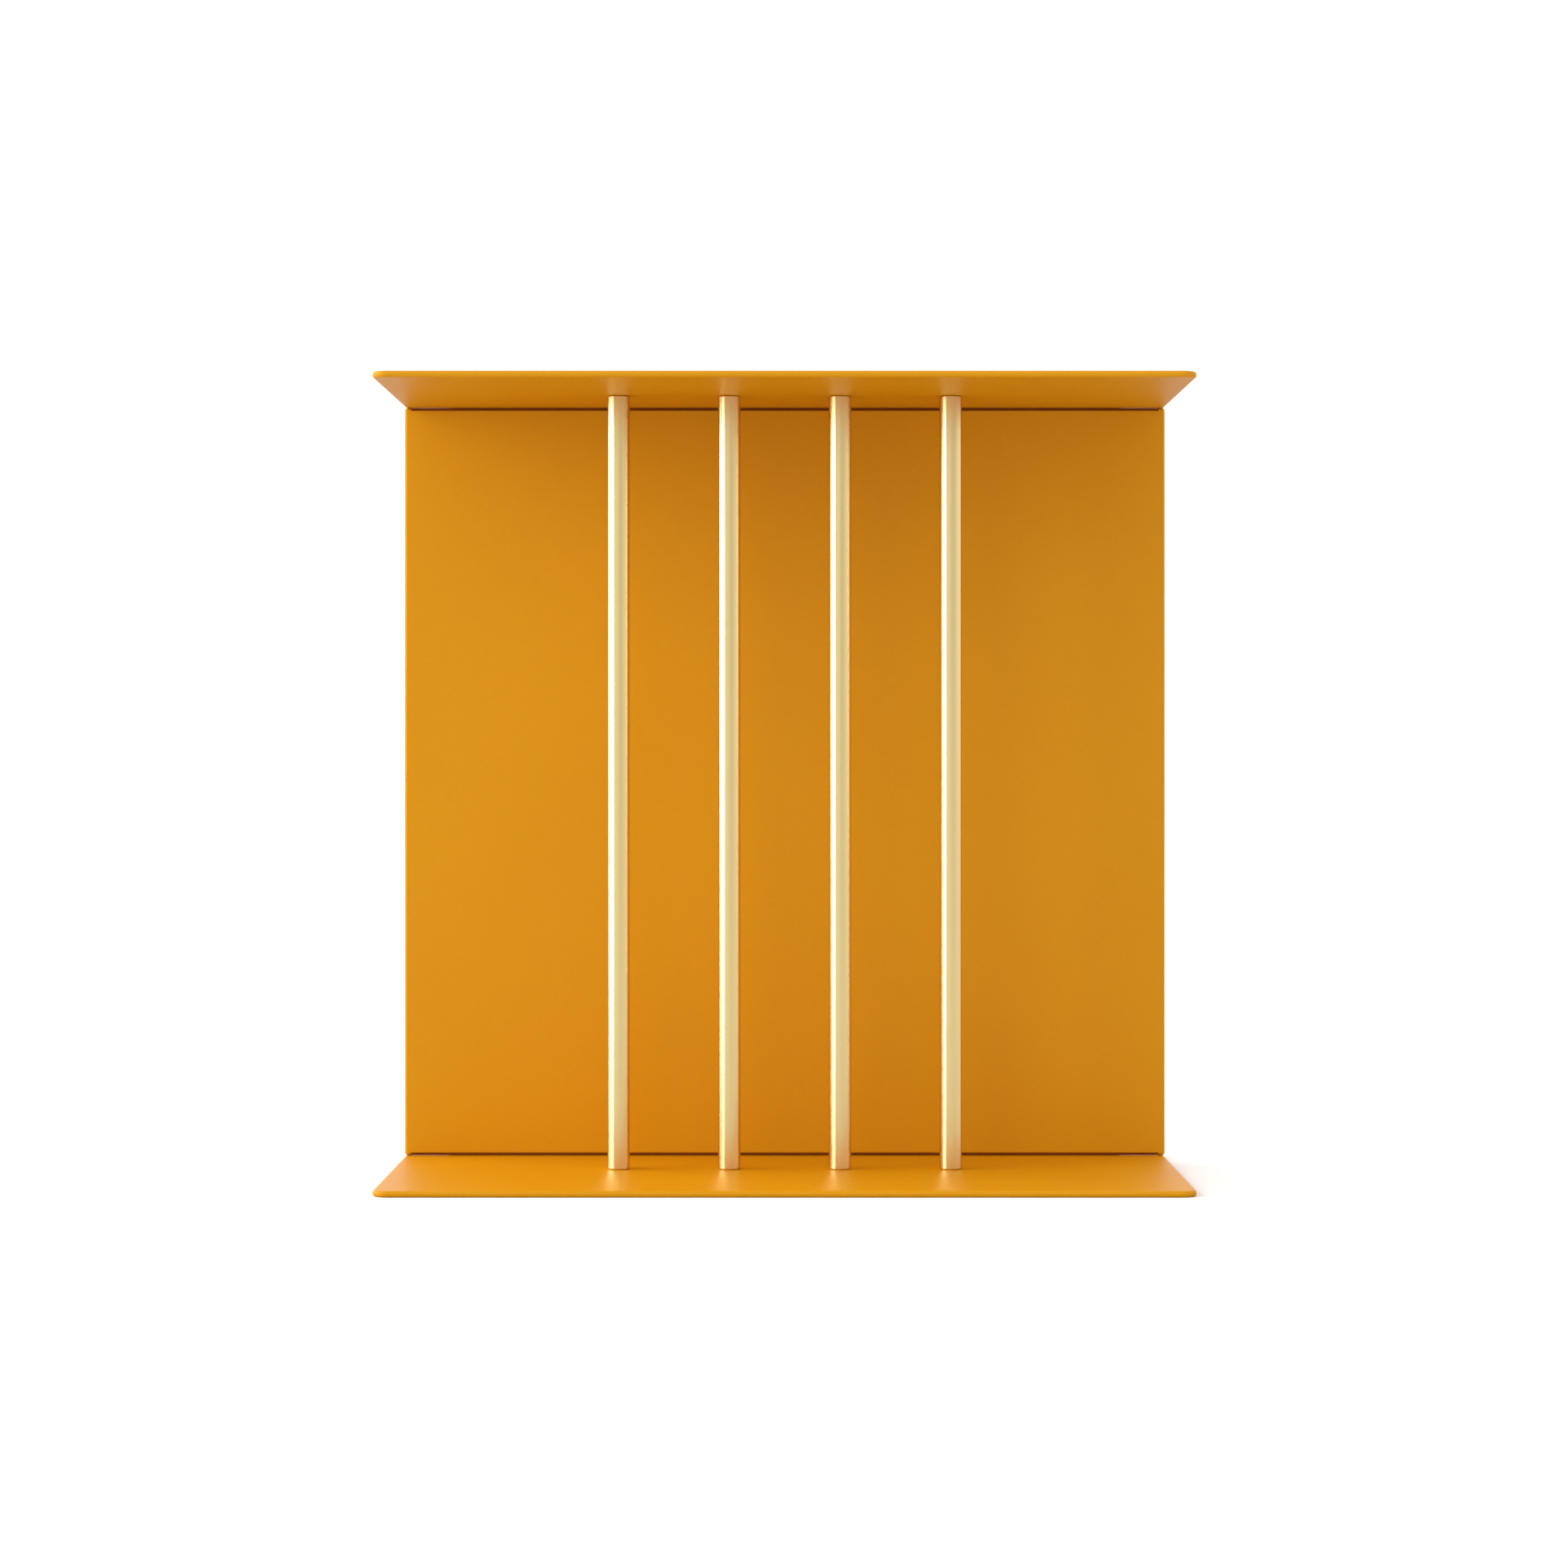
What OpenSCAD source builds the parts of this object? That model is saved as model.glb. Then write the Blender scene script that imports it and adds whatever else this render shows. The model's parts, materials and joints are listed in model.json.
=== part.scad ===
// Open rack for newspapers and magazines: two sheet plates, a back panel between them and a row
// of brass rods. It stands on its lower plate or hangs on wall screws hidden behind the panel.
// Millimetres. +Z is up, the open front faces -Y, and the origin is the centre of the underside.

/* [Body] */
// Width of the plates and of the back panel
body_w = 350; // [290:5:600]
// Height over both plates
body_h = 350; // [200:5:600]
// Depth of the plates, from their front edge to the wall
body_d = 170; // [150:1:260]
// Thickness of the painted sheet
sheet_t = 2.8; // [2.7:0.1:5]
// Corner radius of the plates, seen from above
corner_r = 6.5; // [2:0.5:20]
// Corner radius of the back panel, seen from the front
panel_corner_r = 1.5; // [1.5:0.1:5]
// Rounding along every edge of the sheet
edge_r = 1; // [0.4:0.1:1.2]
// Hidden space between the back panel and the wall
fixing_gap = 26.2; // [22:0.1:60]

/* [Rods] */
// Number of rods
rod_count = 4; // [2:1:5]
// Diameter of a rod
rod_d = 10; // [8:0.5:16]
// Distance from one rod's axis to the next
rod_pitch = 49.3; // [30:0.1:56]
// Distance from the plates' front edge to the rods' axes
rod_setback = 85; // [20:1:105]
// Bevel on the ends of a rod
rod_bevel = 0.5; // [0.1:0.1:0.8]

/* [Rod screws] */
// Thread diameter of a rod screw
rod_screw_d = 5; // [4.5:0.5:6]
// Length of a rod screw, with its head
rod_screw_l = 16; // [12:1:30]
// Diameter of the countersunk head
rod_screw_head_d = 10; // [8:0.5:10.5]
// Hexagon socket, across flats
rod_screw_socket = 3; // [2:0.5:3.5]
// Depth of the hexagon socket
rod_screw_socket_depth = 1.9; // [1:0.1:2.2]
// How far the head lies below the plate's outer face
rod_screw_recess = 0.1; // [0:0.05:0.2]
// How far the tapped hole runs on past the screw's tip
tap_spare = 3; // [1:0.5:8]
// Bevel round the mouth of the tapped hole
tap_bevel = 0.5; // [0.4:0.1:0.6]

/* [Channels behind the panel] */
// Thickness of the channels' sheet
channel_t = 2; // [1.5:0.1:3]
// Height of the channels' two legs
channel_h = 26; // [24:1:40]
// Inside radius of the channels' bends
channel_bend_r = 1.5; // [0.5:0.1:3]
// How far the channels stop short of the plates' side edges
channel_inset = 20; // [8:1:24]

/* [Wall fixing] */
// Distance between the two keyholes, and between the two lower holes
wall_pitch = 200; // [100:5:230]
// Diameter of a keyhole's round entry
keyhole_d = 10; // [8:0.5:11]
// Width of a keyhole's slot
keyhole_slot = 5; // [4:0.5:6]
// Rise from the centre of the round entry to a hanging screw's centre
keyhole_rise = 9.5; // [8:0.5:10]
// Flat sheet left between the slot's closed end and the bend
keyhole_margin = 0.5; // [0.1:0.1:1]
// Diameter of the round holes in the lower channel
lower_hole_d = 5.5; // [4:0.5:8]

/* [Studs, washers and nuts] */
// Thread diameter of the welded studs
stud_d = 4; // [3:0.5:5]
// Length of a stud
stud_l = 8; // [7.5:0.5:12]
// Width of the weld collar round a stud's root
collar_w = 0.6; // [0.3:0.1:0.8]
// Height of the weld collar
collar_h = 0.6; // [0.3:0.1:1]
// Outer diameter of a washer
washer_d = 9; // [8.5:0.5:10]
// Thickness of a washer
washer_t = 0.8; // [0.5:0.1:1.2]
// Size of a nut across its flats
nut_af = 7; // [7:0.5:8]
// Height of a nut
nut_h = 3.2; // [2.4:0.1:4]
// Distance from a channel's end to its outer panel stud
panel_stud_inset = 25; // [12:1:40]
// Distance from a plate's inner face to the panel's studs
panel_stud_rise = 14; // [12:0.5:17]
// Distance between the two studs that hold a channel to its plate
plate_stud_pitch = 130; // [60:5:170]

/* [Clearances] */
// Play round a thread and under a countersunk head
thread_play = 0.05; // [0.03:0.01:0.1]
// Play round a stud in its washer
washer_play = 0.15; // [0.05:0.05:0.3]
// Play round a weld collar in its channel
collar_play = 0.3; // [0.1:0.1:0.5]

/* [Hidden] */
$fn = 64;
// How far a cutting tool runs past the face that it opens
past = 1;
// Height of a drill's 118 degree point, as a share of its diameter
DRILL_POINT = 0.3;
// Lead-in at a stud's tip, as a share of its diameter
STUD_LEAD = 0.12;

clear_h = body_h - 2 * sheet_t;
panel_back_y = body_d / 2 - fixing_gap;
rod_y = rod_setback - body_d / 2;
tap_d = rod_screw_d + 2 * thread_play;
channel_l = body_w - 2 * channel_inset;
channel_y = panel_back_y + fixing_gap / 2;
bend_outer_r = channel_bend_r + channel_t;
keyhole_z = sheet_t + bend_outer_r + keyhole_margin + keyhole_slot / 2 + keyhole_rise;
lower_hole_z = sheet_t + channel_h / 2;

PAINT = [0.80, 0.52, 0.09];
BRASS = [0.82, 0.70, 0.44];
ZINC = [0.66, 0.67, 0.68];

ENDS = ["top", "bottom"];
PANEL_STUDS = 3;
PLATE_STUDS = 2;

// Place of number i in a row of evenly spaced pieces about the middle of the rack.
function in_row(i, count, pitch) = (i - (count + 1) / 2) * pitch;
function rod_x(i) = in_row(i, rod_count, rod_pitch);
function panel_stud_x(i) = in_row(i, PANEL_STUDS, channel_l / 2 - panel_stud_inset);
function plate_stud_x(i) = in_row(i, PLATE_STUDS, plate_stud_pitch);
function wall_x(i) = in_row(i, 2, wall_pitch);

function numbered(name, count) = [for (i = [1:count]) str(name, "_", i)];
function both_ends(name, count) = [for (end = ENDS) each numbered(str(name, "_", end), count)];

// ---- places ----

// Takes what is drawn at the lower end of the rack to the end that is asked for.
module at_end(end) {
    if (end == "top") translate([0, 0, body_h]) mirror([0, 0, 1]) children();
    else children();
}

// Root of a stud on the back of the panel; up is towards the wall.
module at_panel_stud(i) {
    translate([panel_stud_x(i), panel_back_y, sheet_t + panel_stud_rise]) rotate([-90, 0, 0]) children();
}

// Root of a stud on the lower plate's inner face.
module at_plate_stud(i) {
    translate([plate_stud_x(i), channel_y, sheet_t]) children();
}

// ---- plates and panel ----

// Section of a sheet's edge: from x = 0 inside the sheet to its rounded outer edge at x = run.
module edge_section(run, thick, edge) {
    square([run - edge, thick]);
    translate([run - edge, edge]) square([edge, thick - 2 * edge]);
    translate([run - edge, edge]) intersection() {
        circle(edge);
        translate([0, -edge]) square(edge);
    }
    translate([run - edge, thick - edge]) intersection() {
        circle(edge);
        square(edge);
    }
}

// Flat sheet with round corners and softened edges, centred on x and y and standing on z = 0.
module soft_sheet(size, thick, corner, edge) {
    flat = [size.x - 2 * corner, size.y - 2 * corner];
    translate([-flat.x / 2, -flat.y / 2, 0]) cube([flat.x, flat.y, thick]);
    for (turn = [0:3]) {
        reach = turn % 2 == 0 ? flat.x : flat.y;
        length = turn % 2 == 0 ? flat.y : flat.x;
        rotate(90 * turn) translate([reach / 2, 0, 0]) {
            rotate([90, 0, 0]) linear_extrude(length, center = true) edge_section(corner, thick, edge);
            translate([0, length / 2, 0]) rotate_extrude(angle = 90) edge_section(corner, thick, edge);
        }
    }
}

// Countersunk hole through the lower plate for a rod screw; its mouth is at z = 0.
module rod_screw_hole() {
    mouth_d = rod_screw_head_d + 2 * (rod_screw_recess + thread_play);
    translate([0, 0, -past]) cylinder(d = tap_d, h = sheet_t + 2 * past);
    translate([0, 0, -past]) cylinder(d = mouth_d, h = past);
    cylinder(d1 = mouth_d, d2 = tap_d, h = (mouth_d - tap_d) / 2);
}

module plate() {
    color(PAINT) difference() {
        soft_sheet([body_w, body_d], sheet_t, corner_r, edge_r);
        for (i = [1:rod_count]) translate([rod_x(i), rod_y, 0]) rod_screw_hole();
    }
}

module back_panel() {
    color(PAINT) translate([0, panel_back_y, body_h / 2]) rotate([90, 0, 0])
        soft_sheet([body_w, clear_h], sheet_t, panel_corner_r, edge_r);
}

// ---- channels ----

// U section: web along y = 0 from x = 0 to x = width, legs up, outer corners rounded.
module channel_section(width, height, thick, bend) {
    outer = bend + thick;
    translate([outer, 0]) square([width - 2 * outer, thick]);
    for (side = [0, 1]) translate([side * width, 0]) mirror([side, 0]) {
        translate([0, outer]) square([thick, height - outer]);
        translate([outer, outer]) intersection() {
            difference() {
                circle(outer);
                circle(bend);
            }
            translate([-outer, -outer]) square(outer);
        }
    }
}

// Round hole through the channel's sheet, from z = 0 up, for a stud's collar.
module collar_hole() {
    translate([0, 0, -past])
        cylinder(d = stud_d + 2 * (collar_w + collar_play), h = channel_t + 2 * past);
}

// The channel on the lower plate, with its stud holes.
module channel_blank() {
    difference() {
        translate([0, panel_back_y, sheet_t]) rotate([90, 0, 90])
            linear_extrude(channel_l, center = true)
                channel_section(fixing_gap, channel_h, channel_t, channel_bend_r);
        for (i = [1:PLATE_STUDS]) at_plate_stud(i) collar_hole();
        for (i = [1:PANEL_STUDS]) at_panel_stud(i) collar_hole();
    }
}

// Round tool along y through the leg that lies against the wall.
module wall_leg_drill(d) {
    translate([0, body_d / 2 - channel_t - past, 0]) rotate([-90, 0, 0])
        cylinder(d = d, h = channel_t + 2 * past);
}

// Keyhole as it lies at the lower end: the slot runs down from the round entry.
module keyhole() {
    wall_leg_drill(keyhole_d);
    translate([0, 0, -keyhole_rise]) wall_leg_drill(keyhole_slot);
    translate([-keyhole_slot / 2, body_d / 2 - channel_t - past, -keyhole_rise])
        cube([keyhole_slot, channel_t + 2 * past, keyhole_rise]);
}

// Upper channel: hangs on two wall screws whose heads pass through the round entries.
module hanger_channel() {
    color(PAINT) at_end("top") difference() {
        channel_blank();
        for (i = [1, 2]) translate([wall_x(i), 0, keyhole_z]) keyhole();
    }
}

// Lower channel: two more screws hold it to the wall.
module lower_channel() {
    color(PAINT) difference() {
        channel_blank();
        for (i = [1, 2]) translate([wall_x(i), 0, lower_hole_z]) wall_leg_drill(lower_hole_d);
    }
}

// ---- rods and their screws ----

// Tapped hole in a rod's end, with its mouth at z = 0.
module tapped_hole() {
    depth = rod_screw_l + rod_screw_recess - sheet_t + tap_spare;
    translate([0, 0, -past]) cylinder(d = tap_d, h = depth + past);
    translate([0, 0, depth]) cylinder(d1 = tap_d, d2 = 0, h = tap_d * DRILL_POINT);
    cylinder(d1 = tap_d + 2 * tap_bevel, d2 = tap_d, h = tap_bevel);
}

module rod(i) {
    r = rod_d / 2;
    color(BRASS) translate([rod_x(i), rod_y, sheet_t]) difference() {
        rotate_extrude() polygon([
            [0, 0], [r - rod_bevel, 0], [r, rod_bevel],
            [r, clear_h - rod_bevel], [r - rod_bevel, clear_h], [0, clear_h]
        ]);
        tapped_hole();
        translate([0, 0, clear_h]) mirror([0, 0, 1]) tapped_hole();
    }
}

// Countersunk socket screw, head down in the lower plate.
module rod_screw(i) {
    cone_h = (rod_screw_head_d - rod_screw_d) / 2;
    color(BRASS) translate([rod_x(i), rod_y, rod_screw_recess]) difference() {
        union() {
            cylinder(d1 = rod_screw_head_d, d2 = rod_screw_d, h = cone_h);
            translate([0, 0, cone_h]) cylinder(d = rod_screw_d, h = rod_screw_l - cone_h);
        }
        translate([0, 0, -past])
            cylinder(d = rod_screw_socket / cos(30), h = rod_screw_socket_depth + past, $fn = 6);
    }
}

// ---- studs, washers and nuts ----

// Threaded stud standing on z = 0, with its weld collar and a small lead-in at the tip.
module stud() {
    lead = stud_d * STUD_LEAD;
    color(ZINC) {
        cylinder(d = stud_d, h = stud_l - lead);
        translate([0, 0, stud_l - lead]) cylinder(d1 = stud_d, d2 = stud_d - 2 * lead, h = lead);
        cylinder(d = stud_d + 2 * collar_w, h = collar_h);
    }
}

// Washer on the channel's sheet, round a stud whose root is at z = 0.
module washer() {
    color(ZINC) translate([0, 0, channel_t]) difference() {
        cylinder(d = washer_d, h = washer_t);
        translate([0, 0, -past]) cylinder(d = stud_d + 2 * washer_play, h = washer_t + 2 * past);
    }
}

// Hexagon nut on the washer, with its corners bevelled at both ends.
module hex_nut() {
    corners_d = nut_af / cos(30);
    bevel = (corners_d - nut_af) / 2 * tan(30);
    color(ZINC) translate([0, 0, channel_t + washer_t]) difference() {
        intersection() {
            cylinder(d = corners_d, h = nut_h, $fn = 6);
            rotate_extrude() polygon([
                [0, 0], [nut_af / 2, 0], [corners_d / 2, bevel],
                [corners_d / 2, nut_h - bevel], [nut_af / 2, nut_h], [0, nut_h]
            ]);
        }
        translate([0, 0, -past]) cylinder(d = stud_d + 2 * thread_play, h = nut_h + 2 * past);
    }
}

// ---- the nodes ----

at_end("top") plate();  // top_plate
plate();  // bottom_plate
back_panel();
hanger_channel();
lower_channel();
for (i = [1:rod_count])
    rod(i);
for (end = ENDS, i = [1:rod_count])
    at_end(end) rod_screw(i);
for (end = ENDS, i = [1:PANEL_STUDS]) {
    at_end(end) at_panel_stud(i) stud();
    at_end(end) at_panel_stud(i) washer();
    at_end(end) at_panel_stud(i) hex_nut();
}
for (end = ENDS, i = [1:PLATE_STUDS]) {
    at_end(end) at_plate_stud(i) stud();
    at_end(end) at_plate_stud(i) washer();
    at_end(end) at_plate_stud(i) hex_nut();
}
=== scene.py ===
"""Open newspaper rack: painted sheet plates and back panel, brass rods, and the fixings behind them."""

import json
import math

import bmesh
import bpy
from bpy.props import FloatProperty, FloatVectorProperty, IntProperty, PointerProperty
from mathutils import Matrix, Vector


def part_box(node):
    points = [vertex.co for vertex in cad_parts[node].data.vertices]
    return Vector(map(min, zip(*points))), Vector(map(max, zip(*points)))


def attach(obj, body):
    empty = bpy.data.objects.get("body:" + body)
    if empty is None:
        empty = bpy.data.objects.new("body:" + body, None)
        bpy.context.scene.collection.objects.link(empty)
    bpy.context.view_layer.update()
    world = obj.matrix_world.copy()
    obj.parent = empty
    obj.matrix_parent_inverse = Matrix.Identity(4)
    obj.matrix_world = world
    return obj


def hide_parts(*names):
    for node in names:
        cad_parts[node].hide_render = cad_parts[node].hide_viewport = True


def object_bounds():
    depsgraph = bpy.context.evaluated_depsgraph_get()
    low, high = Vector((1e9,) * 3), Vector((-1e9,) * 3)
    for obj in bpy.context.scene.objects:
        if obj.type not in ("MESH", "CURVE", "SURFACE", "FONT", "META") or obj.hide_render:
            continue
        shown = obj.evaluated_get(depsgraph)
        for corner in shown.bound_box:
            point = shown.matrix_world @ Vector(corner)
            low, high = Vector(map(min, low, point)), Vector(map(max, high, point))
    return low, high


bl_info = {
    "name": "Newspaper rack",
    "version": (1, 0, 0),
    "blender": (4, 5, 0),
    "location": "View3D > Sidebar > Rack",
    "description": "Makes the painted sheet, brass rods and fixings of a newspaper rack",
    "category": "Object",
}

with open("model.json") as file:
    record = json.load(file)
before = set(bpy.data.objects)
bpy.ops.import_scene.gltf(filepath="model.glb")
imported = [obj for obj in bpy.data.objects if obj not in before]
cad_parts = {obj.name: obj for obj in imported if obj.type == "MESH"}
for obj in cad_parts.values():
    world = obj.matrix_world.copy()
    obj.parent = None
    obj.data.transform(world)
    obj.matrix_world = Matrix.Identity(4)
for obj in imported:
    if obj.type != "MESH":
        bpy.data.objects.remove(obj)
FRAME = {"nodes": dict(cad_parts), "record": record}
CAD_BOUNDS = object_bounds()

# One millimetre in metres.
MM = 0.001
# How far a cutting shape runs past the face that it opens.
PAST = 0.001
# Points closer together than this are one point.
SAME_POINT = 1e-7
# How close to a cut's plane a point lies that is on it, and an edge that belongs to its rim.
CUT_REACH = 1e-8
RIM_REACH = 1e-6
# Edges that turn by less than this are part of a round face and stay as they are.
SHARP_TURN = math.radians(30)
# An edge or a face's normal runs along an axis when its share of that axis is larger than this.
ALONG = 0.9

# Straight steps in softened edges, in the sheet's corners and edges, and in the channels' bends.
SOFT_STEPS = 2
CORNER_STEPS = 16
EDGE_STEPS = 8
BEND_STEPS = 10
# Straight steps in the round end of a keyhole's slot and in its entry.
SLOT_STEPS = 16
ENTRY_STEPS = 40

# Width of the strip along the panel's sides in which the painted shade of its joints fades out.
SIDE_FADE = 0.006
# Distance from the panel's edge at which the painted shade of the joint begins and is full, in heights of
# the joint.
SHADE_START = 1.3
SHADE_FULL = 0.6
# Height of a drill's 118 degree point, as a share of its diameter.
DRILL_POINT = 0.3
# Depth of a thread, as a share of its pitch.
THREAD_DEPTH = 0.61
# Points of a thread closer together than this share of its pitch are one point.
SEAM = 0.01
# Outline of one turn of a thread: whether it is at the crest, and how far along the pitch.
TOOTH = ((False, 0), (False, 0.12), (True, 0.44), (True, 0.56), (False, 0.88), (False, 1))
# Outline of the weld collar round a stud, in shares of its radius and of its height.
COLLAR = ((0, 0), (1, 0), (0.97, 0.6), (0.86, 1), (0, 1))

# Share of the brightest wall's light that comes from each direction, from the left at -1 to the right at 1.
WALLS = (
    (-1.0, 0.95), (-0.78, 1.0), (-0.70, 0.369), (-0.42, 0.435), (-0.14, 0.408),
    (0.12, 0.343), (0.42, 0.329), (0.7, 0.382), (1.0, 0.50),
)
# How far up or back a direction points where the ceiling's or the back wall's light begins and is full.
GLOW_START = 0.15
GLOW_FULL = 0.8

# A turned or fastened piece is made pointing up from the origin and then turned to where it points.
UP = Matrix.Identity(4)
DOWN = Matrix.Rotation(math.pi, 4, "X")
TO_WALL = Matrix.Rotation(-math.pi / 2, 4, "X")


# ---- settings ----


class RackSheetSizes(bpy.types.PropertyGroup):
    """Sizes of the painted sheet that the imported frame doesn't give"""

    plate_corner: FloatProperty(
        name="Plate corner", description="Corner radius of the plates",
        default=0.0065, unit="LENGTH",
    )
    panel_corner: FloatProperty(
        name="Panel corner", description="Corner radius of the back panel",
        default=0.0015, unit="LENGTH",
    )
    edge: FloatProperty(
        name="Edge", description="Rounding along the edges of plates and panel",
        default=0.0013, unit="LENGTH",
    )
    joint_gap: FloatProperty(
        name="Joint gap", description="Height of the shadow gap between panel and plate",
        default=0.0014, unit="LENGTH",
    )
    joint_end: FloatProperty(
        name="Joint end", description="Where the shadow gap ends short of the panel's sides",
        default=0.003, unit="LENGTH",
    )
    joint_depth: FloatProperty(
        name="Joint depth", description="Depth of the shadow gap between panel and plate",
        default=0.002, unit="LENGTH",
    )
    cut_edge: FloatProperty(
        name="Cut edge", description="Softening of the channels' and the holes' edges",
        default=0.00022, unit="LENGTH",
    )
    channel_sheet: FloatProperty(
        name="Channel sheet", description="Thickness of the channels' sheet",
        default=0.002, unit="LENGTH",
    )
    channel_bend: FloatProperty(
        name="Channel bend", description="Outer radius of the channels' bends",
        default=0.0035, unit="LENGTH",
    )
    keyhole_entry: FloatProperty(
        name="Keyhole entry", description="Radius of a keyhole's round entry",
        default=0.005, unit="LENGTH",
    )
    keyhole_slot: FloatProperty(
        name="Keyhole slot", description="Half the width of a keyhole's slot",
        default=0.0025, unit="LENGTH",
    )
    keyhole_rise: FloatProperty(
        name="Keyhole rise", description="From the entry's centre to the slot's end centre",
        default=0.0095, unit="LENGTH",
    )
    stud_hole: FloatProperty(
        name="Stud hole", description="Radius of the channels' holes for the studs",
        default=0.0029, unit="LENGTH",
    )


class RackTurnedSizes(bpy.types.PropertyGroup):
    """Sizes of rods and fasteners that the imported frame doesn't give"""

    rod_bevel: FloatProperty(
        name="Rod bevel", description="Bevel on the ends of a rod", default=0.0005, unit="LENGTH"
    )
    rod_thread: FloatProperty(
        name="Rod thread", description="Radius of a rod screw's thread",
        default=0.0025, unit="LENGTH",
    )
    screw_lead: FloatProperty(
        name="Screw lead", description="Bevel on the tip of a rod screw",
        default=0.0007, unit="LENGTH",
    )
    tap_spare: FloatProperty(
        name="Tap spare", description="How far the tapped hole runs past the screw's tip",
        default=0.003, unit="LENGTH",
    )
    thread_play: FloatProperty(
        name="Thread play", description="Play round a thread and under a screw's head",
        default=0.00005, unit="LENGTH",
    )
    socket: FloatProperty(
        name="Socket", description="Size of a rod screw's hexagon socket across its flats",
        default=0.003, unit="LENGTH",
    )
    socket_depth: FloatProperty(
        name="Socket depth", description="Depth of the hexagon socket",
        default=0.0019, unit="LENGTH",
    )
    stud_thread: FloatProperty(
        name="Stud thread", description="Outer radius of a stud's thread",
        default=0.002, unit="LENGTH",
    )
    stud_pitch: FloatProperty(
        name="Stud pitch", description="Rise of a stud's thread in one turn",
        default=0.0007, unit="LENGTH",
    )
    collar_height: FloatProperty(
        name="Collar height", description="Height of the weld collar at a stud's root",
        default=0.0006, unit="LENGTH",
    )
    washer_hole: FloatProperty(
        name="Washer hole", description="Radius of a washer's hole", default=0.00215, unit="LENGTH"
    )
    small_edge: FloatProperty(
        name="Small edge", description="Softening of the edges of fasteners and rods",
        default=0.00012, unit="LENGTH",
    )
    steps: IntProperty(
        name="Steps", description="Straight steps in a full turn of a round piece",
        default=96, min=24, max=256,
    )


class RackFinishes(bpy.types.PropertyGroup):
    """Colours and gloss of the finishes"""

    paint: FloatVectorProperty(
        name="Paint", description="Colour of the powder coat", subtype="COLOR", size=3,
        default=(0.670, 0.285, 0.0012), min=0, max=1,
    )
    paint_roughness: FloatProperty(
        name="Paint roughness", description="Roughness of the powder coat",
        default=0.44, min=0, max=1, subtype="FACTOR",
    )
    # Dark tone that is painted into the panel's colour next to its joints: painted shade in the joints.
    joint_shade: FloatVectorProperty(
        name="Bare edge", description="Colour where the coat thins out in the joints",
        subtype="COLOR", size=3, default=(0.32, 0.075, 0.001), min=0, max=1,
    )
    brass: FloatVectorProperty(
        name="Brass", description="Colour of the brass", subtype="COLOR", size=3,
        default=(0.86, 0.665, 0.30), min=0, max=1,
    )
    brass_roughness: FloatProperty(
        name="Brass roughness", description="Roughness of the drawn brass",
        default=0.22, min=0, max=1, subtype="FACTOR",
    )
    screw_roughness: FloatProperty(
        name="Screw roughness", description="Roughness of the screws' machined brass",
        default=0.28, min=0, max=1, subtype="FACTOR",
    )
    zinc: FloatVectorProperty(
        name="Zinc", description="Colour of the zinc plating", subtype="COLOR", size=3,
        default=(0.60, 0.62, 0.64), min=0, max=1,
    )
    zinc_roughness: FloatProperty(
        name="Zinc roughness", description="Roughness of the zinc plating",
        default=0.34, min=0, max=1, subtype="FACTOR",
    )


class RackStudio(bpy.types.PropertyGroup):
    """Camera, floor and lights"""

    camera_place: FloatVectorProperty(
        name="Camera place", description="Where the camera stands",
        subtype="TRANSLATION", size=3, unit="LENGTH", default=(0.0016, -1.675, 0.1875),
    )
    lens: FloatProperty(
        name="Lens", description="Focal length in millimetres", default=86.31, min=10, max=300
    )
    shift: FloatVectorProperty(
        name="Shift", description="Sideways and upward shift of the lens",
        size=2, default=(-0.0027, -0.0188),
    )
    floor_size: FloatProperty(
        name="Floor size", description="Length of the floor's sides", default=12.0, unit="LENGTH"
    )
    floor_seen: FloatProperty(
        name="Floor seen", description="Brightness of the floor to the camera",
        default=0.98, min=0, max=1,
    )
    floor_sent: FloatProperty(
        name="Floor sent", description="Brightness of the floor to the light that it sends back",
        default=0.66, min=0, max=1,
    )
    surround: FloatProperty(
        name="Surround", description="Brightness of the white surround to the camera",
        default=1.05, min=0,
    )
    wall_peak: FloatProperty(
        name="Wall peak", description="Brightness of the brightest wall", default=2.03, min=0.1
    )
    back_wall: FloatProperty(
        name="Back wall", description="Extra brightness behind the rack", default=0.6, min=0
    )
    ceiling: FloatProperty(
        name="Ceiling", description="Extra brightness overhead", default=0.2, min=0
    )
    key_power: FloatProperty(
        name="Key power", description="Power of the soft light above", default=2.8, unit="POWER"
    )
    key_size: FloatVectorProperty(
        name="Key size", description="Width and height of the soft light above",
        size=2, unit="LENGTH", default=(1.6, 1.2),
    )
    key_place: FloatVectorProperty(
        name="Key place", description="Where the soft light above hangs",
        subtype="TRANSLATION", size=3, unit="LENGTH", default=(-0.3, -2.1, 1.45),
    )
    side_power: FloatProperty(
        name="Side power", description="Power of the wide round light on the left",
        default=801.0, unit="POWER",
    )
    side_width: FloatProperty(
        name="Side width", description="Diameter of the wide round light on the left",
        default=10.0, unit="LENGTH",
    )
    side_distance: FloatProperty(
        name="Side distance", description="From the rack's middle to the wide round light",
        default=5.5, unit="LENGTH",
    )
    glint_power: FloatProperty(
        name="Glint power", description="Power of the round light on the left that only the brass takes",
        default=1100.0, unit="POWER",
    )
    glint_width: FloatProperty(
        name="Glint width", description="Diameter of the round light that only the brass takes",
        default=8.0, unit="LENGTH",
    )
    glint_distance: FloatProperty(
        name="Glint distance", description="From the rack's middle to the light that only the brass takes",
        default=5.2, unit="LENGTH",
    )


# ---- mesh helpers ----


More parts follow.
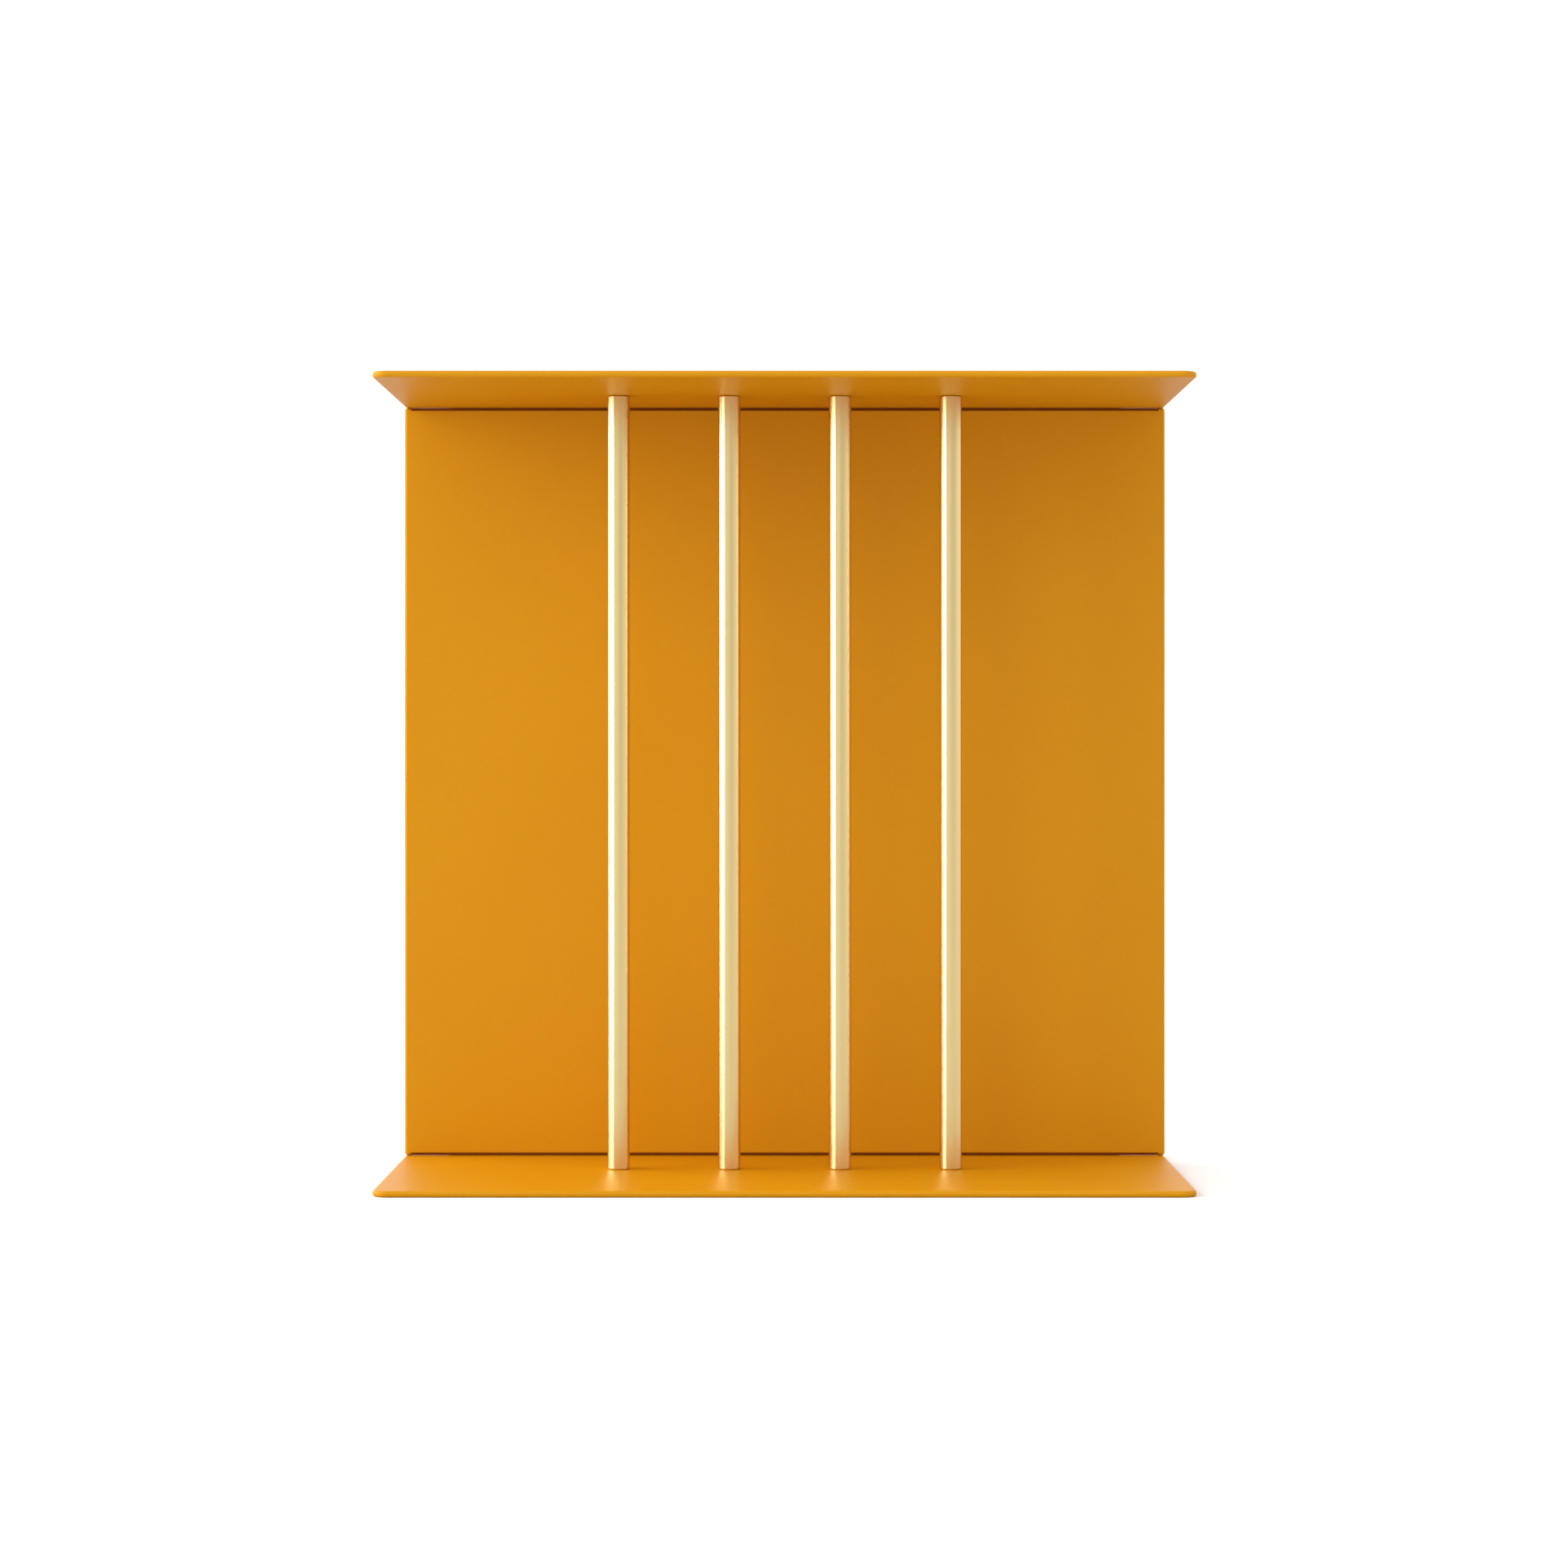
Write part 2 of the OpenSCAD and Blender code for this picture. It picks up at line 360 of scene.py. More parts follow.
def turned(profile, steps, closed=False):
    """Solid of revolution about the z axis; the profile is a list of (radius, height) points."""
    bm = bmesh.new()
    verts = [bm.verts.new((radius, 0, height)) for radius, height in profile]
    pairs = list(zip(verts, verts[1:]))
    if closed:
        pairs.append((verts[-1], verts[0]))
    edges = [bm.edges.new(pair) for pair in pairs]
    bmesh.ops.spin(
        bm, geom=verts + edges, cent=(0, 0, 0), axis=(0, 0, 1),
        angle=2 * math.pi, steps=steps, use_merge=True,
    )
    bmesh.ops.remove_doubles(bm, verts=bm.verts, dist=SAME_POINT)
    bmesh.ops.recalc_face_normals(bm, faces=bm.faces)
    return bm


def block(extent, centre):
    """Box of the given size about its centre."""
    bm = bmesh.new()
    bmesh.ops.create_cube(bm, size=1)
    bmesh.ops.scale(bm, vec=extent, verts=bm.verts)
    bmesh.ops.translate(bm, vec=centre, verts=bm.verts)
    return bm


def round_off(bm, edges, width, segments):
    """Rounds the given edges."""
    bmesh.ops.bevel(
        bm, geom=edges, offset=width, offset_type="OFFSET", segments=segments, profile=0.5,
        affect="EDGES", material=-1, clamp_overlap=True,
    )


def soften(bm, width):
    """Rounds every sharp edge of a closed mesh."""
    bm.normal_update()
    sharp = [e for e in bm.edges if len(e.link_faces) == 2 and e.calc_face_angle() > SHARP_TURN]
    round_off(bm, sharp, width, SOFT_STEPS)


def direction_of(edge):
    return (edge.verts[0].co - edge.verts[1].co).normalized()


def rounded_sheet(low, high, across, corner, edge):
    """Flat sheet between two corner points, with round corners and rounded edges.

    The axis across the sheet is 1 for y and 2 for z.
    """
    bm = block(high - low, (low + high) / 2)
    through = [e for e in bm.edges if abs(direction_of(e)[across]) > ALONG]
    round_off(bm, through, corner, CORNER_STEPS)
    bm.normal_update()
    rim = [e for e in bm.edges if sum(abs(f.normal[across]) > ALONG for f in e.link_faces) == 1]
    round_off(bm, rim, edge, EDGE_STEPS)
    return bm


def object_from(name, bm):
    """New object at the origin with the mesh in it."""
    mesh = bpy.data.meshes.new(name)
    bm.to_mesh(mesh)
    bm.free()
    obj = bpy.data.objects.new(name, mesh)
    bpy.context.scene.collection.objects.link(obj)
    return obj


def carve(bm, cutters, operation="DIFFERENCE"):
    """Cuts closed shapes out of a closed shape one after another, or keeps what they have in common.

    Each helper object goes with its mesh when the mesh is removed.
    """
    body = object_from("blank", bm)
    for cutter_bm in cutters:
        cutter = object_from("cutter", cutter_bm)
        modifier = body.modifiers.new("cut", "BOOLEAN")
        modifier.operation = operation
        modifier.solver = "EXACT"
        modifier.object = cutter
        depsgraph = bpy.context.evaluated_depsgraph_get()
        result = bpy.data.meshes.new_from_object(body.evaluated_get(depsgraph))
        body.modifiers.clear()
        used = body.data
        body.data = result
        bpy.data.meshes.remove(used)
        bpy.data.meshes.remove(cutter.data)
    carved = bmesh.new()
    carved.from_mesh(body.data)
    bpy.data.meshes.remove(body.data)
    bmesh.ops.remove_doubles(carved, verts=carved.verts, dist=SAME_POINT)
    return carved


def placed(bm, root, turn):
    """Turns a shape from pointing up to where it points, and takes it to its root."""
    bmesh.ops.transform(bm, matrix=Matrix.Translation(root) @ turn, verts=bm.verts)
    return bm


def finish_piece(name, bm, node, slot, material):
    """Makes the shape the visible piece that stands for a node of the frame."""
    for face in bm.faces:
        face.smooth = True
    piece = object_from(name, bm)
    piece.data.materials.append(material)
    weighted = piece.modifiers.new("even shading", "WEIGHTED_NORMAL")
    weighted.mode = "FACE_AREA"
    if slot == "brass":
        lit_brass().objects.link(piece)
    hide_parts(node)
    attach(piece, "root")


# ---- where things are ----


def middle(node):
    low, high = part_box(node)
    return (low + high) / 2


def size(node):
    low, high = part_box(node)
    return high - low


def nodes_named(start):
    return sorted(name for name in FRAME["nodes"] if name.startswith(start))


def turn_of(node):
    """Which way a fixing points from its root."""
    if node.startswith("panel_"):
        return TO_WALL
    return DOWN if "_top" in node else UP


def root_of(node):
    """Middle of the end of a fixing's box that it points away from."""
    low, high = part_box(node)
    pointing = turn_of(node).to_3x3() @ Vector((0, 0, 1))
    return (low + high) / 2 - pointing * abs((high - low).dot(pointing)) / 2


# ---- finishes ----


def noise_group(name, detail, reach):
    """Node group: noise on given coordinates; its values within reach of 0.5 are spread from 0 to 1."""
    group = bpy.data.node_groups.get(name)
    if group:
        return group
    group = bpy.data.node_groups.new(name, "ShaderNodeTree")
    group.interface.new_socket("Place", in_out="INPUT", socket_type="NodeSocketVector")
    group.interface.new_socket("Scale", in_out="INPUT", socket_type="NodeSocketFloat")
    group.interface.new_socket("Value", in_out="OUTPUT", socket_type="NodeSocketFloat")
    links = group.links
    inputs = group.nodes.new("NodeGroupInput")
    outputs = group.nodes.new("NodeGroupOutput")
    noise = group.nodes.new("ShaderNodeTexNoise")
    noise.inputs["Detail"].default_value = detail
    stretch = group.nodes.new("ShaderNodeMapRange")
    stretch.inputs["From Min"].default_value = 0.5 - reach
    stretch.inputs["From Max"].default_value = 0.5 + reach
    links.new(inputs.outputs["Place"], noise.inputs["Vector"])
    links.new(inputs.outputs["Scale"], noise.inputs["Scale"])
    links.new(noise.outputs["Fac"], stretch.inputs["Value"])
    links.new(stretch.outputs["Result"], outputs.inputs["Value"])
    return group


def fine_grain():
    return noise_group("fine_grain", detail=2.0, reach=0.25)


def slow_drift():
    return noise_group("slow_drift", detail=3.0, reach=0.2)


def toned(color, factors):
    """A colour with its channels scaled, for a colour socket."""
    return (*(min(1, channel * factor) for channel, factor in zip(color, factors)), 1)


class Finish:
    """A material being made: one shader, its coordinates, and the noises that vary it."""

    def __init__(self, name, color, roughness, metallic):
        self.material = bpy.data.materials.new(name)
        self.material.use_nodes = True
        self.tree = self.material.node_tree
        self.shader = self.tree.nodes["Principled BSDF"]
        self.shader.inputs["Metallic"].default_value = metallic
        self.color = color
        self.roughness = roughness
        self.place = self.tree.nodes.new("ShaderNodeTexCoord").outputs["Object"]

    def noise(self, group, scale, stretch=(1, 1, 1)):
        """Value of a noise on the piece; a stretch below 1 draws the pattern out along that axis."""
        mapping = self.tree.nodes.new("ShaderNodeMapping")
        mapping.inputs["Scale"].default_value = stretch
        node = self.tree.nodes.new("ShaderNodeGroup")
        node.node_tree = group
        node.inputs["Scale"].default_value = scale
        self.tree.links.new(self.place, mapping.inputs["Vector"])
        self.tree.links.new(mapping.outputs["Vector"], node.inputs["Place"])
        return node.outputs["Value"]

    def computed(self, operation, value, second=0.0):
        """Result of a Math node on a value and a plain number."""
        node = self.tree.nodes.new("ShaderNodeMath")
        node.operation = operation
        node.inputs[1].default_value = second
        self.tree.links.new(value, node.inputs[0])
        return node.outputs[0]

    def mixed(self, values, shares):
        """Weighted sum of noise values, for the colour, the roughness or the height."""
        total = None
        for value, share in zip(values, shares):
            part = self.tree.nodes.new("ShaderNodeMath")
            part.operation = "MULTIPLY_ADD"
            part.inputs[1].default_value = share
            self.tree.links.new(value, part.inputs[0])
            if total:
                self.tree.links.new(total, part.inputs[2])
            else:
                part.inputs[2].default_value = 0.0
            total = part.outputs[0]
        return total

    def vary_color(self, value, darker, lighter):
        """Base colour between a darker and a lighter tone of the finish."""
        mix = self.tree.nodes.new("ShaderNodeMix")
        mix.data_type = "RGBA"
        mix.inputs["A"].default_value = toned(self.color, darker)
        mix.inputs["B"].default_value = toned(self.color, lighter)
        self.tree.links.new(value, mix.inputs["Factor"])
        self.tree.links.new(mix.outputs["Result"], self.shader.inputs["Base Color"])

    def vary_roughness(self, value, spread):
        """Roughness that drifts by the spread about its middle value."""
        shift = self.tree.nodes.new("ShaderNodeMapRange")
        shift.inputs["To Min"].default_value = self.roughness - spread
        shift.inputs["To Max"].default_value = self.roughness + spread
        self.tree.links.new(value, shift.inputs["Value"])
        self.tree.links.new(shift.outputs["Result"], self.shader.inputs["Roughness"])

    def paint_joint_shade(self, start, end, joint_shade):
        """Paints shade into the colour, towards the dark joint tone from one height to another, and the
        same in mirror image.

        The mirror lies halfway up the rack. Along the sides the painted shade fades out again.
        """
        middle_z = (CAD_BOUNDS[0].z + CAD_BOUNDS[1].z) / 2
        side = CAD_BOUNDS[1].x
        split = self.tree.nodes.new("ShaderNodeSeparateXYZ")
        self.tree.links.new(self.place, split.inputs["Vector"])
        share = None
        for axis, centre, first, last in (("Z", middle_z, start, end), ("X", 0, side, side - SIDE_FADE)):
            distance = self.computed("ABSOLUTE", self.computed("SUBTRACT", split.outputs[axis], centre))
            near = self.tree.nodes.new("ShaderNodeMapRange")
            near.interpolation_type = "SMOOTHSTEP"
            near.inputs["From Min"].default_value = first - centre
            near.inputs["From Max"].default_value = last - centre
            self.tree.links.new(distance, near.inputs["Value"])
            if share:
                near.inputs["To Min"].default_value = 0
                self.tree.links.new(share, near.inputs["To Max"])
            share = near.outputs["Result"]
        coated = self.shader.inputs["Base Color"].links[0].from_socket
        mix = self.tree.nodes.new("ShaderNodeMix")
        mix.data_type = "RGBA"
        mix.inputs["B"].default_value = (*joint_shade, 1)
        self.tree.links.new(share, mix.inputs["Factor"])
        self.tree.links.new(coated, mix.inputs["A"])
        self.tree.links.new(mix.outputs["Result"], self.shader.inputs["Base Color"])

    def emboss(self, value, depth):
        """Surface relief of the given depth in metres."""
        bump = self.tree.nodes.new("ShaderNodeBump")
        bump.inputs["Distance"].default_value = depth
        self.tree.links.new(value, bump.inputs["Height"])
        self.tree.links.new(bump.outputs["Normal"], self.shader.inputs["Normal"])


def powder_coat(name="mustard_powder_coat", shade_from=None, shade_to=None):
    """Satin mustard powder coat with fine orange peel and a slow drift of tone.

    Between two given heights the colour darkens with painted shade towards the panel's upper joint, and the
    same towards its lower joint.
    """
    made = bpy.data.materials.get(name)
    if made:
        return made
    looks = bpy.context.scene.rack_finishes
    finish = Finish(name, looks.paint, looks.paint_roughness, metallic=0.0)
    peel = finish.noise(fine_grain(), scale=420)
    grain = finish.noise(fine_grain(), scale=1100)
    drift = finish.noise(slow_drift(), scale=7)
    tone = finish.mixed((drift, grain), (0.55, 0.45))
    finish.vary_color(tone, darker=(0.965, 0.95, 0.93), lighter=(1.03, 1.045, 1.06))
    finish.vary_roughness(finish.mixed((drift, peel), (0.6, 0.4)), spread=0.035)
    finish.emboss(finish.mixed((peel, grain), (0.4, 0.6)), depth=0.000007)
    finish.shader.inputs["Specular IOR Level"].default_value = 0.17
    if shade_to:
        finish.paint_joint_shade(shade_from, shade_to, looks.joint_shade)
    return finish.material


def drawn_brass():
    """Brass bar stock with fine lines along its length."""
    made = bpy.data.materials.get("drawn_brass")
    if made:
        return made
    looks = bpy.context.scene.rack_finishes
    finish = Finish("drawn_brass", looks.brass, looks.brass_roughness, metallic=1.0)
    lines = finish.noise(fine_grain(), scale=1500, stretch=(1, 1, 0.004))
    bands = finish.noise(fine_grain(), scale=420, stretch=(1, 1, 0.002))
    drift = finish.noise(slow_drift(), scale=14)
    tone = finish.mixed((bands, lines, drift), (0.4, 0.4, 0.2))
    finish.vary_color(tone, darker=(0.975, 0.97, 0.95), lighter=(1.02, 1.02, 1.03))
    finish.vary_roughness(finish.mixed((lines, drift), (0.5, 0.5)), spread=0.015)
    finish.emboss(lines, depth=0.0000002)
    finish.shader.inputs["Anisotropic"].default_value = 0.6
    finish.shader.inputs["Anisotropic Rotation"].default_value = 0.25
    finish.shader.inputs["Coat Weight"].default_value = 0.6
    finish.shader.inputs["Coat Roughness"].default_value = 0.3
    return finish.material


def turned_brass():
    """Brass of the screws, with the even fine grain of a machined face."""
    made = bpy.data.materials.get("turned_brass")
    if made:
        return made
    looks = bpy.context.scene.rack_finishes
    finish = Finish("turned_brass", looks.brass, looks.screw_roughness, metallic=1.0)
    grain = finish.noise(fine_grain(), scale=2600)
    drift = finish.noise(slow_drift(), scale=160)
    finish.vary_color(drift, darker=(0.90, 0.86, 0.78), lighter=(1.03, 1.04, 1.05))
    finish.vary_roughness(grain, spread=0.05)
    finish.emboss(grain, depth=0.000004)
    return finish.material


def zinc_plate():
    """Bright zinc plating with its faint patches of blue and straw."""
    made = bpy.data.materials.get("zinc_plate")
    if made:
        return made
    looks = bpy.context.scene.rack_finishes
    finish = Finish("zinc_plate", looks.zinc, looks.zinc_roughness, metallic=1.0)
    patches = finish.noise(slow_drift(), scale=320)
    grain = finish.noise(fine_grain(), scale=2400)
    finish.vary_color(patches, darker=(0.90, 0.94, 1.04), lighter=(1.08, 1.05, 0.93))
    finish.vary_roughness(finish.mixed((patches, grain), (0.5, 0.5)), spread=0.07)
    finish.emboss(grain, depth=0.000005)
    return finish.material


# ---- plates and panel ----


def countersink(node, screw):
    """Cutting shape of a rod screw's hole through a plate."""
    turned_sizes = bpy.context.scene.rack_turned
    play = turned_sizes.thread_play
    plate_low, plate_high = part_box(node)
    thick = plate_high.z - plate_low.z
    outer_z = plate_high.z if "top" in node else plate_low.z
    recess = abs(root_of(screw).z - outer_z)
    mouth = size(screw).x / 2 + recess + play
    shaft = turned_sizes.rod_thread + play
    profile = [
        (0, -PAST), (mouth, -PAST), (mouth, 0),
        (shaft, mouth - shaft), (shaft, thick + PAST), (0, thick + PAST),
    ]
    root = root_of(screw)
    root.z = outer_z
    return placed(turned(profile, turned_sizes.steps), root, turn_of(screw))


def make_plate(node):
    """One plate, with a countersunk hole for each rod screw."""
    sheet = bpy.context.scene.rack_sheet
    low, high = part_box(node)
    blank = rounded_sheet(low, high, 2, sheet.plate_corner, sheet.edge)
    end = node.split("_")[0]
    bm = carve(blank, [countersink(node, screw) for screw in nodes_named(f"rod_screw_{end}")])
    soften(bm, sheet.cut_edge)
    finish_piece(f"painted_{node}", bm, node, "painted_steel", powder_coat())


def make_panel(node):
    """The back panel between the plates, rebated along them so that a thin dark joint shows, with shade
    painted into its colour near the joints.
    """
    sheet = bpy.context.scene.rack_sheet
    low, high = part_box(node)
    blank = rounded_sheet(low, high, 1, sheet.panel_corner, sheet.edge)
    width = high.x - low.x - 2 * sheet.joint_end
    rebate = Vector((width, 2 * sheet.joint_depth, 2 * sheet.joint_gap))
    centre_x = (low.x + high.x) / 2
    bm = carve(blank, [block(rebate, Vector((centre_x, low.y, z))) for z in (low.z, high.z)])
    soften(bm, sheet.cut_edge)
    # Heights between which shade is painted into the panel's colour near its joints.
    shade_from = high.z - SHADE_START * sheet.joint_gap
    shade_to = high.z - SHADE_FULL * sheet.joint_gap
    coat = powder_coat("mustard_powder_coat_panel", shade_from, shade_to)
    finish_piece(f"painted_{node}", bm, node, "painted_steel", coat)


# ---- channels ----


def folded_channel(node):
    """Sheet folded into a channel: web against its plate, legs towards the middle of the rack."""
    sheet = bpy.context.scene.rack_sheet
    low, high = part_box(node)
    web_z, open_z = (high.z, low.z) if "hanger" in node else (low.z, high.z)
    bm = bmesh.new()
    section = [(low.y, open_z), (low.y, web_z), (high.y, web_z), (high.y, open_z)]
    verts = [bm.verts.new((low.x, y, z)) for y, z in section]
    edges = [bm.edges.new(pair) for pair in zip(verts, verts[1:])]
    sides = bmesh.ops.extrude_edge_only(bm, edges=edges)["geom"]
    far = [v for v in sides if isinstance(v, bmesh.types.BMVert)]
    bmesh.ops.translate(bm, vec=(high.x - low.x, 0, 0), verts=far)
    folds = [e for e in bm.edges if len(e.link_faces) == 2]
    round_off(bm, folds, sheet.channel_bend, BEND_STEPS)
    bmesh.ops.recalc_face_normals(bm, faces=bm.faces)
    face = max(bm.faces, key=lambda f: f.calc_area())
    inward = middle(node) - face.calc_center_median()
    if face.normal.dot(inward) > 0:
        bmesh.ops.reverse_faces(bm, faces=bm.faces)
    bmesh.ops.solidify(bm, geom=bm.faces, thickness=sheet.channel_sheet)
    bmesh.ops.recalc_face_normals(bm, faces=bm.faces)
    return bm


def drill(radius, root, turn, depth):
    """Round cutting shape that runs past both ends of its depth."""
    steps = bpy.context.scene.rack_turned.steps // 2
    profile = [(0, -PAST), (radius, -PAST), (radius, depth + PAST), (0, depth + PAST)]
    return placed(turned(profile, steps), root, turn)


def keyhole(centre, thick):
    """Keyhole cutting shape through the wall leg: round entry below, slot with a round end above."""
    sheet = bpy.context.scene.rack_sheet
    entry, slot, rise = sheet.keyhole_entry, sheet.keyhole_slot, sheet.keyhole_rise
    neck = math.sqrt(entry**2 - slot**2)
    bm = bmesh.new()
    start = bm.verts.new((-slot, 0, rise))
    over = bmesh.ops.spin(
        bm, geom=[start], cent=(0, 0, rise), axis=(0, 1, 0),
        angle=math.pi, steps=SLOT_STEPS, use_duplicate=False,
    )["geom_last"][0]
    shoulder = bm.verts.new((slot, 0, neck))
    bm.edges.new((over, shoulder))
    round_entry = 2 * math.pi - 2 * math.asin(slot / entry)
    back = bmesh.ops.spin(
        bm, geom=[shoulder], cent=(0, 0, 0), axis=(0, 1, 0),
        angle=round_entry, steps=ENTRY_STEPS, use_duplicate=False,
    )["geom_last"][0]
    bm.edges.new((back, start))
    outline = bmesh.ops.contextual_create(bm, geom=bm.edges[:])["faces"]
    grown = bmesh.ops.extrude_face_region(bm, geom=outline)["geom"]
    far = [v for v in grown if isinstance(v, bmesh.types.BMVert)]
    bmesh.ops.translate(bm, vec=(0, thick + 2 * PAST, 0), verts=far)
    bmesh.ops.recalc_face_normals(bm, faces=bm.faces)
    bmesh.ops.translate(bm, vec=centre - Vector((0, PAST, 0)), verts=bm.verts)
    return bm


def make_channel(node):
    """A channel with its wall holes and the holes for the studs that hold it."""
    sheet = bpy.context.scene.rack_sheet
    end = "top" if "hanger" in node else "bottom"
    thick = sheet.channel_sheet
    cutters = []
    for stud in nodes_named(f"panel_stud_{end}") + nodes_named(f"plate_stud_{end}"):
        cutters.append(drill(sheet.stud_hole, root_of(stud), turn_of(stud), thick))
    mount_name = "keyholes" if end == "top" else "lower_wall_holes"
    mount = next(m for m in FRAME["record"]["mounts"] if m["name"] == mount_name)
    apart = mount["dims"]["spacing_x_mm"] * MM
    for side in (-apart / 2, apart / 2):
        centre = Vector(mount["pos_m"]) + Vector((side, -thick, 0))
        if end == "top":
            cutters.append(keyhole(centre, thick))
        else:
            cutters.append(drill(mount["dims"]["hole_r_mm"] * MM, centre, TO_WALL, thick))
    bm = carve(folded_channel(node), cutters)
    soften(bm, sheet.cut_edge)
    finish_piece(f"painted_{node}", bm, node, "painted_steel", powder_coat())


# ---- rods and their screws ----


def make_rod(node):
    """Brass rod with bevelled ends and a tapped hole in each."""
    turned_sizes = bpy.context.scene.rack_turned
    low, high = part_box(node)
    radius, length = (high.x - low.x) / 2, high.z - low.z
    number = node.split("_")[1]
    screw_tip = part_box(f"rod_screw_bottom_{number}")[1].z
    depth = screw_tip - low.z + turned_sizes.tap_spare
    bore = turned_sizes.rod_thread + turned_sizes.thread_play
    bevel = turned_sizes.rod_bevel
    lower_end = [
        (0, depth + 2 * bore * DRILL_POINT), (bore, depth), (bore, bevel), (bore + bevel, 0),
        (radius - bevel, 0), (radius, bevel),
    ]
    upper_end = [(r, length - h) for r, h in reversed(lower_end)]
    bm = turned(lower_end + upper_end, turned_sizes.steps)
    soften(bm, turned_sizes.small_edge)
    placed(bm, Vector((middle(node).x, middle(node).y, low.z)), UP)
    finish_piece(f"brass_{node}", bm, node, "brass", drawn_brass())


def make_rod_screw(node):
    """Countersunk screw with a hexagon socket."""
    turned_sizes = bpy.context.scene.rack_turned
    length = size(node).z
    head, shank = size(node).x / 2, turned_sizes.rod_thread
    lead = turned_sizes.screw_lead
    profile = [
        (0, 0), (head, 0), (shank, head - shank),
        (shank, length - lead), (shank - lead, length), (0, length),
    ]
    blank = turned(profile, turned_sizes.steps)
    socket = bmesh.new()
    corner = turned_sizes.socket / 2 / math.cos(math.pi / 6)
    bmesh.ops.create_cone(
        socket, cap_ends=True, segments=6, radius1=corner, radius2=corner,
        depth=2 * turned_sizes.socket_depth,
    )
    bm = carve(blank, [socket])
    soften(bm, turned_sizes.small_edge)
    placed(bm, root_of(node), turn_of(node))
    finish_piece(f"brass_{node}", bm, node, "brass", turned_brass())


# ---- studs, washers and nuts ----


def thread_shape(radius, pitch, length, steps):
    """Outside thread about the z axis from z = 0 to the given length, with a bevelled tip."""
    deep = radius - THREAD_DEPTH * pitch
    bm = bmesh.new()
    verts = []
    for crest, along in TOOTH:
        verts.append(bm.verts.new((radius if crest else deep, 0, along * pitch - pitch)))
    edges = [bm.edges.new(pair) for pair in zip(verts, verts[1:])]
    turns = math.ceil(length / pitch) + 2
    bmesh.ops.spin(
        bm, geom=verts + edges, cent=(0, 0, 0), axis=(0, 0, 1), dvec=(0, 0, pitch / steps),
        angle=2 * math.pi * turns, steps=steps * turns, use_merge=False,
    )
    bmesh.ops.remove_doubles(bm, verts=bm.verts, dist=SEAM * pitch)
    for height, outside in ((0, -1), (length, 1)):
        geometry = bm.verts[:] + bm.edges[:] + bm.faces[:]
        bmesh.ops.bisect_plane(
            bm, geom=geometry, dist=CUT_REACH, clear_outer=True,
            plane_co=(0, 0, height), plane_no=(0, 0, outside),
        )
        ends = [e for e in bm.edges if e.is_boundary]
        rim = [e for e in ends if all(abs(v.co.z - height) < RIM_REACH for v in e.verts)]
        bmesh.ops.edgeloop_fill(bm, edges=rim)
    # Near the tip no point lies further out than the bevel allows.
    for vert in bm.verts:
        allowed = deep - pitch / 2 + length - vert.co.z
        reach = math.hypot(vert.co.x, vert.co.y)
        if reach > allowed:
            vert.co.x *= allowed / reach
            vert.co.y *= allowed / reach
    bmesh.ops.recalc_face_normals(bm, faces=bm.faces)
    return bm


def make_stud(node):
    """Threaded stud with the bead of weld round its root."""
    turned_sizes = bpy.context.scene.rack_turned
    low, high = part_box(node)
    length = abs((high - low).dot(turn_of(node).to_3x3() @ Vector((0, 0, 1))))
    steps = turned_sizes.steps
    bm = thread_shape(turned_sizes.stud_thread, turned_sizes.stud_pitch, length, steps // 4)
    thread = bpy.data.meshes.new("thread")
    bm.to_mesh(thread)
    bm.free()
    collar, height = size(node).x / 2, turned_sizes.collar_height
    bead = turned([(collar * out, height * up) for out, up in COLLAR], steps // 2)
    bead.from_mesh(thread)
    bpy.data.meshes.remove(thread)
    placed(bead, root_of(node), turn_of(node))
    finish_piece(f"zinc_{node}", bead, node, "zinc_plated_steel", zinc_plate())


def make_washer(node):
    """Flat washer with the rounded edge of a punched blank."""
    turned_sizes = bpy.context.scene.rack_turned
    outer = size(node).x / 2
    thick = min(size(node))
    hole = turned_sizes.washer_hole
    section = [(hole, 0), (outer, 0), (outer, thick), (hole, thick)]
    bm = turned(section, turned_sizes.steps // 2, closed=True)
    soften(bm, turned_sizes.small_edge)
    placed(bm, root_of(node), turn_of(node))
    finish_piece(f"zinc_{node}", bm, node, "zinc_plated_steel", zinc_plate())


def make_nut(node):
    """Hexagon nut with bevelled corners and a bevelled bore."""
    turned_sizes = bpy.context.scene.rack_turned
    corners = size(node).x / 2
    flats = corners * math.cos(math.pi / 6)
    height = min(size(node))
    bore = turned_sizes.stud_thread + turned_sizes.thread_play
    blank = bmesh.new()
    bmesh.ops.create_cone(
        blank, cap_ends=True, segments=6, radius1=corners, radius2=corners, depth=height
    )
    bmesh.ops.translate(blank, vec=(0, 0, height / 2), verts=blank.verts)
    half_side = Matrix.Rotation(math.pi / 6, 3, "Z")
    bmesh.ops.rotate(blank, cent=(0, 0, 0), matrix=half_side, verts=blank.verts)
    bevel = (corners - flats) * math.tan(math.pi / 6)
    envelope = turned(
        [(0, 0), (flats, 0), (corners, bevel), (corners, height - bevel), (flats, height), (0, height)],
        turned_sizes.steps,
    )
    mouth = bore + turned_sizes.stud_pitch / 2
    depth = mouth - bore
    bore_cutter = turned(
        [(0, -PAST), (mouth, -PAST), (mouth, 0), (bore, depth), (bore, height - depth), (mouth, height),
         (mouth, height + PAST), (0, height + PAST)],
        turned_sizes.steps // 2,
    )
    bm = carve(carve(blank, [envelope], "INTERSECT"), [bore_cutter])
    soften(bm, turned_sizes.small_edge / 2)
    placed(bm, root_of(node), turn_of(node))
    finish_piece(f"zinc_{node}", bm, node, "zinc_plated_steel", zinc_plate())


# ---- stage ----


